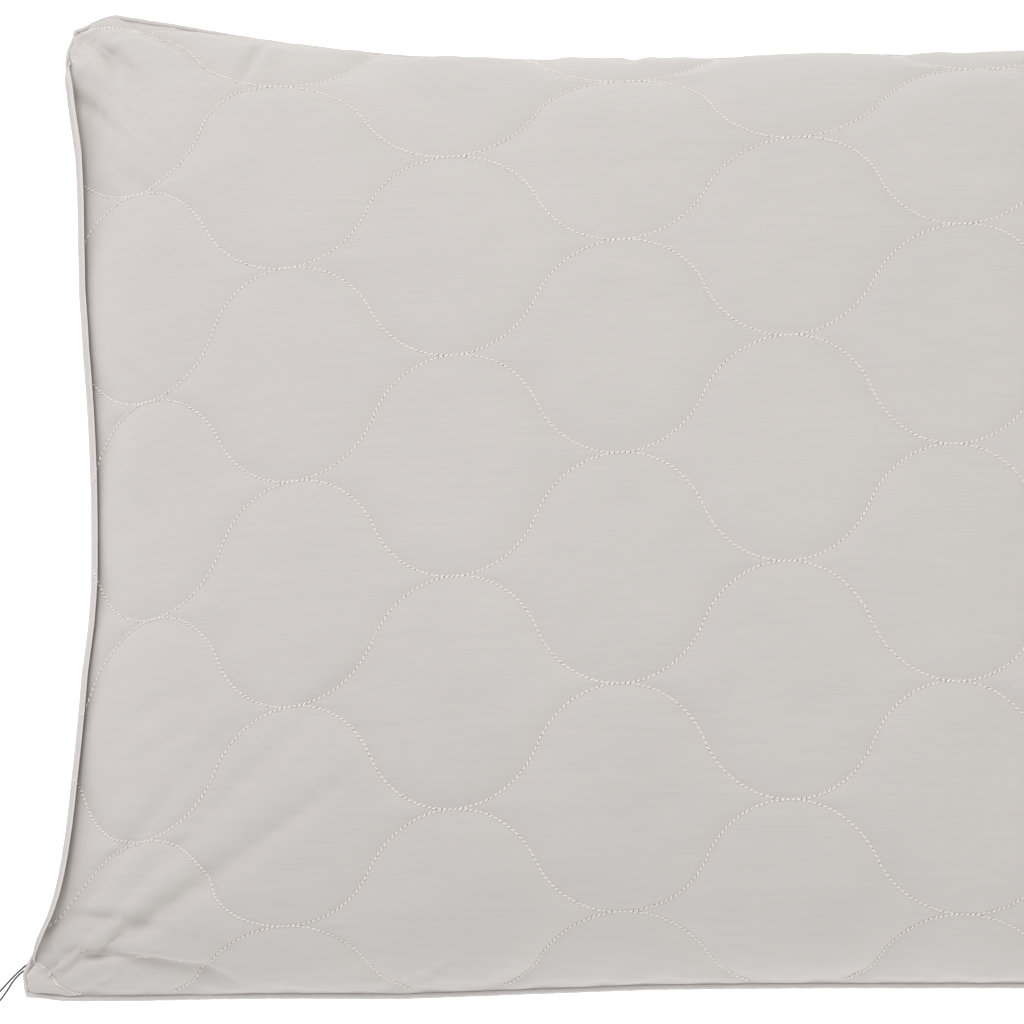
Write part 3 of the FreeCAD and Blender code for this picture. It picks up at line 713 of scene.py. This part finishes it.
class PILLOW_OT_cover(bpy.types.Operator):
    """Front and back of the quilted cover"""
    bl_idname = "pillow.cover"
    bl_label = "Cover"

    def execute(self, context):
        settle_cover()
        material = cloth_material("cotton_sateen", finish().cotton, contrast=0.055, bump=0.35)
        inner = cloth_material("bonded_wadding", finish().wadding, 0.010, 0.0030, 0.001, 0.04,
                               0.15, 0.8, 0.0006, 0.95)
        inner_cloth = cloth_material("cotton_lining", finish().cotton, 0.004, 0.0010, 0.0006, 0.05)
        for front in (True, False):
            cell = quilt().cell * (1 if front else 1.4)
            p, q = np.meshgrid(np.linspace(-FLAT_X, FLAT_X, round(2 * FLAT_X / cell) + 1),
                               np.linspace(-FLAT_Y, FLAT_Y, round(2 * FLAT_Y / cell) + 1), indexing="ij")
            if front:
                lip = lip_place(q)
                p = lip + (p + FLAT_X) / (2 * FLAT_X) * (FLAT_X - lip)
            points, _ = cover_point(p, q, front)
            points = open_edge(points, q, front)
            side = "front" if front else "back"
            faces = grid_faces(*points.shape[:2], flip=not front)
            piece = make_piece(f"{side}_cover", points, faces, material)
            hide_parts(f"{side}_fabric")
            self.layer(side, front, "wadding", (0.0016, 0.0058), inner)
            self.layer(side, front, "lining", (0.0062, 0.0067), inner_cloth)
        return {"FINISHED"}

    def layer(self, side, front, kind, depths, material):
        """Closed layer under the face fabric, between two depths."""
        reach_x, reach_y = FLAT_X - 0.006, FLAT_Y - 0.006
        p, q = np.meshgrid(np.linspace(-reach_x, reach_x, 121), np.linspace(-reach_y, reach_y, 95),
                           indexing="ij")
        if front:
            start = lip_place(q) + 0.008
            p = start + (p + reach_x) / (2 * reach_x) * (reach_x - start)
        outer, inner = (cover_point(p, q, front, depth)[0] for depth in depths)
        rows, columns = p.shape
        index = np.arange(rows * columns).reshape(rows, columns)
        rim = np.concatenate([index[:-1, 0], index[-1, :-1], index[:0:-1, -1], index[0, :0:-1]])
        after, count = np.roll(rim, -1), rows * columns
        sides = np.stack([rim, after, after + count, rim + count], -1)
        faces = np.concatenate([quads(index), quads(index + count, flip=True), sides[:, ::-1]])
        faces = faces if front else faces[:, ::-1]
        points = np.concatenate([outer.reshape(-1, 3), inner.reshape(-1, 3)])
        piece = make_piece(f"{side}_{kind}_layer", points, faces, material)
        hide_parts(f"{side}_{kind}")


def zip_span(q):
    """1 along the zip's opening, running out to 0 past its ends, at a pattern place."""
    y = np.sin(np.pi * np.interp(np.abs(q), *TABLE_Y) / 2) * CORNER_Y
    return smooth((LIP_END + LIP_RUN_OUT - y) / LIP_RUN_OUT)


def lip_place(q):
    """Pattern place where the front panel ends on the zipped edge."""
    t = np.interp(np.abs(q), *TABLE_Y)
    share = np.clip(LIP_HEIGHT / CROWN / np.maximum(crown(np.cos(np.pi * t / 2)), 0.2), 0, 0.9)
    rising = share.copy()
    for _ in range(20):
        rising = share * 4 / (5 - rising ** 2)
    s = 2 * np.arccos(rising) / np.pi
    place = -np.interp(s, TABLE_X[1], TABLE_X[0])
    return -FLAT_X + (place + FLAT_X) * zip_span(q)


def lip_pull(p, q):
    """How far the front panel is drawn out over the zip at a pattern place."""
    start = lip_place(q)
    rim = soft_point(start, q, True)
    along = np.linspace(-FLAT_Y, FLAT_Y, 401)
    seam = shape_point(np.full_like(along, -FLAT_X), along, True)
    reach = rim[..., 0] - np.interp(rim[..., 1], seam[:, 1], seam[:, 0])
    span = zip_span(q)
    near = np.exp(-(np.clip(p - start, 0, None) / LIP_DRAW) ** 1.5)
    return near * (reach * np.clip(span * 8, 0, 1) + span * LIP_OVERHANG)


def open_edge(points, q, front):
    """Turn the cloth in at the zipped edge: the front into a folded lip, the back into a ledge."""
    along = zip_span(q[0])[None, :, None]
    turned = [points[0] + along[0] * np.array([dx, 0, dz]) for dx, dz in (FRONT_TURN if front else BACK_TURN)]
    return np.concatenate([np.stack(turned[::-1]), points])


# One stitch: place along it as a share of its length, and its height over the cloth.
STITCH_BOW = ((-.5, -.00030), (-.42, .00010), (-.22, .00028), (0, .00034),
              (.22, .00028), (.42, .00010), (.5, -.00030))
STITCH_TAPER = (0.7, 0.9, 1, 1.02, 1, 0.9, 0.7)
HOLE_LENGTH = 0.00045
HOLE_DEPTH = 0.00022
HOLE_RADII = (0.00030, 0.00052, 0.00030)


class PILLOW_OT_stitching(bpy.types.Operator):
    """Quilting stitches on both panels"""
    bl_idname = "pillow.stitching"
    bl_label = "Quilting stitches"

    def execute(self, context):
        material = cloth_material("quilting_thread", finish().thread, 0.0006, 0.0002, 0.0002, 0.02,
                                  0.08, 0.3, 0.0001, 0.55, 0.3)
        # Needle holes: little tubes in the cotton's colour at about a quarter of its brightness, painted shade
        # where the needle went in.
        shade = cloth_material("painted_needle_shade", tuple(c * 0.26 for c in finish().cotton))
        for front in (True, False):
            centres, tangents = self.stitch_places(front)
            side = "front" if front else "back"
            points, faces = tubes(*self.threads(centres, tangents, front))
            piece = make_piece(side + "_stitches", points, faces, material)
            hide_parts(side + "_quilting_thread")
            points, faces = tubes(*self.holes(centres, tangents, front))
            make_piece(side + "_painted_needle_shade", points, faces, shade)
        return {"FINISHED"}

    def stitch_places(self, front):
        """Middle and direction of each stitch, in pattern coordinates."""
        arcs, radius, turn = rows_of_arcs()
        count = round(2 * turn * radius / quilt().stitch)
        angles = (np.arange(count) + 0.5) / count * 2 * turn - turn
        centres, tangents = [], []
        for x, y, side in arcs:
            centres.append(np.stack([x + radius * np.sin(angles), y + side * radius * np.cos(angles)], -1))
            tangents.append(np.stack([np.cos(angles), -side * np.sin(angles)], -1))
        centres, tangents = np.concatenate(centres), np.concatenate(tangents)
        place = cloth_place(centres)
        inside = (np.abs(place[:, 0]) < FLAT_X - 0.005) & (np.abs(place[:, 1]) < FLAT_Y - 0.005)
        if front:
            inside &= place[:, 0] > lip_place(place[:, 1]) + 0.004
        else:
            inside &= cover_point(place[:, 0], place[:, 1], False)[0][:, 2] > 0.0012
        return centres[inside], tangents[inside]

    def threads(self, centres, tangents, front):
        """Each stitch bows out of the cloth and dips into it at both ends."""
        random = np.random.default_rng(3)
        skew = random.normal(0.00018, 0.00010, (len(centres), 1)) * tangents[:, ::-1] * np.array([-1, 1])
        length = quilt().stitch * random.uniform(0.70, 0.82, (len(centres), 1))
        paths, normals = [], []
        for along, lift in STITCH_BOW:
            place = cloth_place(centres + tangents * length * along + skew * (1 if along > 0 else -1))
            point, normal = cover_point(place[:, 0], place[:, 1], front)
            paths.append(point + normal * lift)
            normals.append(normal)
        radius = quilt().thread / 2 * np.array(STITCH_TAPER)
        return np.stack(paths, 1), np.stack(normals, 1), radius[None]

    def holes(self, centres, tangents, front):
        """Small dimple where the needle went in, at one end of each stitch, drawn as a dark tube: painted shade.
        """
        paths, normals = [], []
        for along in (-.5, -.12, .5):
            place = cloth_place(centres + tangents * (quilt().stitch * 0.5 + HOLE_LENGTH * along))
            point, normal = cover_point(place[:, 0], place[:, 1], front)
            paths.append(point - normal * HOLE_DEPTH)
            normals.append(normal)
        return np.stack(paths, 1), np.stack(normals, 1), np.array([HOLE_RADII])


class PILLOW_OT_piping(bpy.types.Operator):
    """Piping sleeve and its filler cord round the seam"""
    bl_idname = "pillow.piping"
    bl_label = "Piping"

    def execute(self, context):
        line = self.seam_line()
        normals = np.broadcast_to(np.array([0.0, 0, 1]), line.shape)
        run = np.linspace(0, 1, len(line), endpoint=False)
        for name, node, slot, size, sides, material in (
                ("piping_cover", "piping_sleeve", "piping_cotton", 0.00130, 14,
                 cloth_material("piping_cotton", finish().piping, 0.004, 0.0012, 0.0005, 0.04, 0.08, 0.4, 0.0002)),
                ("piping_core", "piping_cord", "piping_filler", 0.00062, 8,
                 cloth_material("filler_cord", finish().wadding, 0.002, 0.0008, 0.0004, 0.04))):
            plump = 1 + 0.05 * np.sin(run * 2 * np.pi * 431) + 0.04 * np.sin(run * 2 * np.pi * 167 + 1)
            points, _ = tubes(line[None], normals[None], (size * plump)[None], sides)
            ring = grid_faces(len(line), sides, wrap_rows=True, wrap_columns=True)
            piece = make_piece(name, points, ring, material)
            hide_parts(node)
        return {"FINISHED"}

    def seam_line(self):
        """Closed line just outside the panels' edge, evenly spaced."""
        n = 900
        a, b = np.linspace(-1, 1, n, endpoint=False), np.ones(n)
        p = np.concatenate([a, b, -a, -b]) * FLAT_X
        q = np.concatenate([-b, a, b, -a]) * FLAT_Y
        edge = shape_point(p, q, True)[:, :2]
        closed = np.concatenate([edge, edge[:1]])
        length = np.concatenate([[0], np.cumsum(np.linalg.norm(np.diff(closed, axis=0), axis=1))])
        even = np.linspace(0, length[-1], 1500, endpoint=False)
        line = np.stack([np.interp(even, length, closed[:, k]) for k in range(2)], -1)
        ahead = np.roll(line, -1, 0) - np.roll(line, 1, 0)
        ahead = sum(np.roll(ahead, k, 0) for k in range(-3, 4))
        out = np.stack([ahead[:, 1], -ahead[:, 0]], -1)
        out /= np.linalg.norm(out, axis=1, keepdims=True)
        line = line + out * PIPING_OFFSET
        return np.concatenate([line, np.full((len(line), 1), SEAM_Z)], 1)


# The coils: spacing of the loops, wire radius, and how a loop sits over the chain's line.
COIL_PITCH = 0.00145
COIL_WIRE = 0.00030
COIL_SETBACK = 0.0020
COIL_REACH = 0.00205
COIL_LOOP = 0.00075
COIL_DEPTH = 0.00105
COIL_HEAD = 0.0007


class PILLOW_OT_zip(bpy.types.Operator):
    """Zip coils, tapes, stops, slider and pull tab"""
    bl_idname = "pillow.zip"
    bl_label = "Zip"

    def execute(self, context):
        nylon = hard_material("nylon_coil", finish().zip_tape, 0.45, grain=0.0004)
        centre_x = -(MIDDLE_X + EDGE_RADIUS)
        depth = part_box("zipper_coil_front")[1].x + MIDDLE_X - COIL_SETBACK
        swing = CHAIN_END / (EDGE_RADIUS + depth)
        loops = int(2 * swing * EDGE_RADIUS / COIL_PITCH)
        for side, node in ((1, "zipper_coil_front"), (-1, "zipper_coil_back")):
            turn = np.linspace(0, 2 * np.pi, 15)[:-1]
            run = (np.arange(loops)[:, None] + turn[None] / (2 * np.pi) + (0.5 if side > 0 else 0)) * COIL_PITCH
            angle = run.ravel() / EDGE_RADIUS - swing
            reach = COIL_REACH + COIL_LOOP * np.cos(turn)
            deep = depth + COIL_DEPTH + COIL_LOOP * np.sin(turn)
            r = EDGE_RADIUS + np.tile(deep, loops)
            height = CHAIN_Z + side * np.tile(reach - COIL_HEAD * (np.cos(turn) < -0.5), loops)
            path = np.stack([centre_x + r * np.cos(angle), r * np.sin(angle), height], -1)
            normals = np.broadcast_to(np.array([0.0, 1, 0]), path.shape)
            points, faces = tubes(path[None], normals[None], COIL_WIRE, 6)
            name = "zip_coil_" + ("front" if side > 0 else "back")
            piece = make_piece(name, points, faces, nylon)
            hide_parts(node)
        woven = cloth_material("zip_tape_weave", finish().zip_tape, 0.003, 0.0006, 0.0004, 0.03)
        for node in ("zipper_tape_front", "zipper_tape_back"):
            dress_node(node, woven)
        enamel = hard_material("cream_enamel", finish().enamel, 0.32, coat=0.4, grain=0.0005, bump=0.08)
        for node in ("zipper_top_stops", "zipper_bottom_stop", "zipper_slider", "zipper_pull_tab"):
            dress_node(node, enamel)
            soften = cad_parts[node].modifiers.new("soft_edges", "BEVEL")
            soften.width, soften.segments, soften.limit_method = 0.00018, 2, "ANGLE"
        return {"FINISHED"}


class PILLOW_OT_label(bpy.types.Operator):
    """Blank care label in the seam"""
    bl_idname = "pillow.label"
    bl_label = "Care label"

    def execute(self, context):
        width, drop = LABEL_HIGH.y - LABEL_LOW.y, LABEL_HIGH.z - LABEL_LOW.z
        across, down = np.meshgrid(np.linspace(-1, 1, 33), np.linspace(0, 1, 41), indexing="ij")
        y = (LABEL_LOW.y + LABEL_HIGH.y) / 2 + across * width / 2
        x = MIDDLE_X + EDGE_RADIUS - np.sqrt(EDGE_RADIUS ** 2 - y ** 2)
        curl = 0.0020 * down ** 2 * across ** 2 - 0.0035 * down ** 2
        x = x + 0.0004 + curl
        z = LABEL_HIGH.z - drop * down
        outer = np.stack([x, y, z], -1)
        inner = outer - np.array([0.0003, 0, 0])
        rim = np.concatenate([outer, inner[:, ::-1]], 1)
        material = cloth_material("label_weave", (0.86, 0.85, 0.82), 0.004, 0.0006, 0.0004, 0.02,
                                  0.05, 0.4, 0.0001, 0.6, 0.2)
        rows, columns = rim.shape[:2]
        faces = grid_faces(rows, columns, wrap_columns=True).tolist()
        faces.append(list(range(columns)))
        faces.append(list(range(rows * columns - 1, (rows - 1) * columns - 1, -1)))
        piece = make_piece("care_label_tape", rim, faces, material)
        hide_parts("care_label")
        return {"FINISHED"}


class PILLOW_OT_inside(bpy.types.Operator):
    """Ticking insert and wool batts inside the cover"""
    bl_idname = "pillow.inside"
    bl_label = "Insert and filling"

    def execute(self, context):
        ticking = cloth_material("cotton_ticking", (0.78, 0.76, 0.71), 0.004, 0.0008, 0.0005, 0.05)
        wool = cloth_material("carded_wool", finish().wadding, 0.012, 0.003, 0.001, 0.04,
                              0.25, 0.9, 0.001, 0.95, 0.6)
        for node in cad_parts:
            if node.startswith("insert_ticking"):
                dress_node(node, ticking)
            if node.startswith("wool_batt"):
                dress_node(node, wool)
        return {"FINISHED"}


class PILLOW_PT_panel(bpy.types.Panel):
    """Pillow settings and the pieces to build"""
    bl_idname = "PILLOW_PT_panel"
    bl_label = "Quilted pillow"
    bl_space_type = "VIEW_3D"
    bl_region_type = "UI"
    bl_category = "Pillow"

    def draw(self, context):
        for settings in (context.scene.pillow_quilt, context.scene.pillow_finish, context.scene.pillow_stage):
            for key in settings.__annotations__:
                self.layout.prop(settings, key)
        for operator in OPERATORS:
            self.layout.operator(operator.bl_idname)


SETTINGS = {"pillow_quilt": QuiltSettings, "pillow_finish": FinishSettings, "pillow_stage": StageSettings}
OPERATORS = (PILLOW_OT_stage, PILLOW_OT_tag, PILLOW_OT_cover, PILLOW_OT_stitching, PILLOW_OT_piping,
             PILLOW_OT_zip, PILLOW_OT_label, PILLOW_OT_inside)


def register():
    """Register the settings, the operators and the panel."""
    for name, group in SETTINGS.items():
        bpy.utils.register_class(group)
        setattr(bpy.types.Scene, name, bpy.props.PointerProperty(type=group))
    for item in (*OPERATORS, PILLOW_PT_panel):
        bpy.utils.register_class(item)


def unregister():
    """Take everything back out."""
    for item in (PILLOW_PT_panel, *reversed(OPERATORS)):
        bpy.utils.unregister_class(item)
    for name, group in reversed(SETTINGS.items()):
        delattr(bpy.types.Scene, name)
        bpy.utils.unregister_class(group)


def main():
    """Build every piece in order."""
    register()
    bpy.ops.pillow.stage()
    bpy.ops.pillow.tag()
    bpy.ops.pillow.cover()
    bpy.ops.pillow.stitching()
    bpy.ops.pillow.piping()
    bpy.ops.pillow.zip()
    bpy.ops.pillow.label()
    bpy.ops.pillow.inside()


if __name__ == "__main__":
    main()
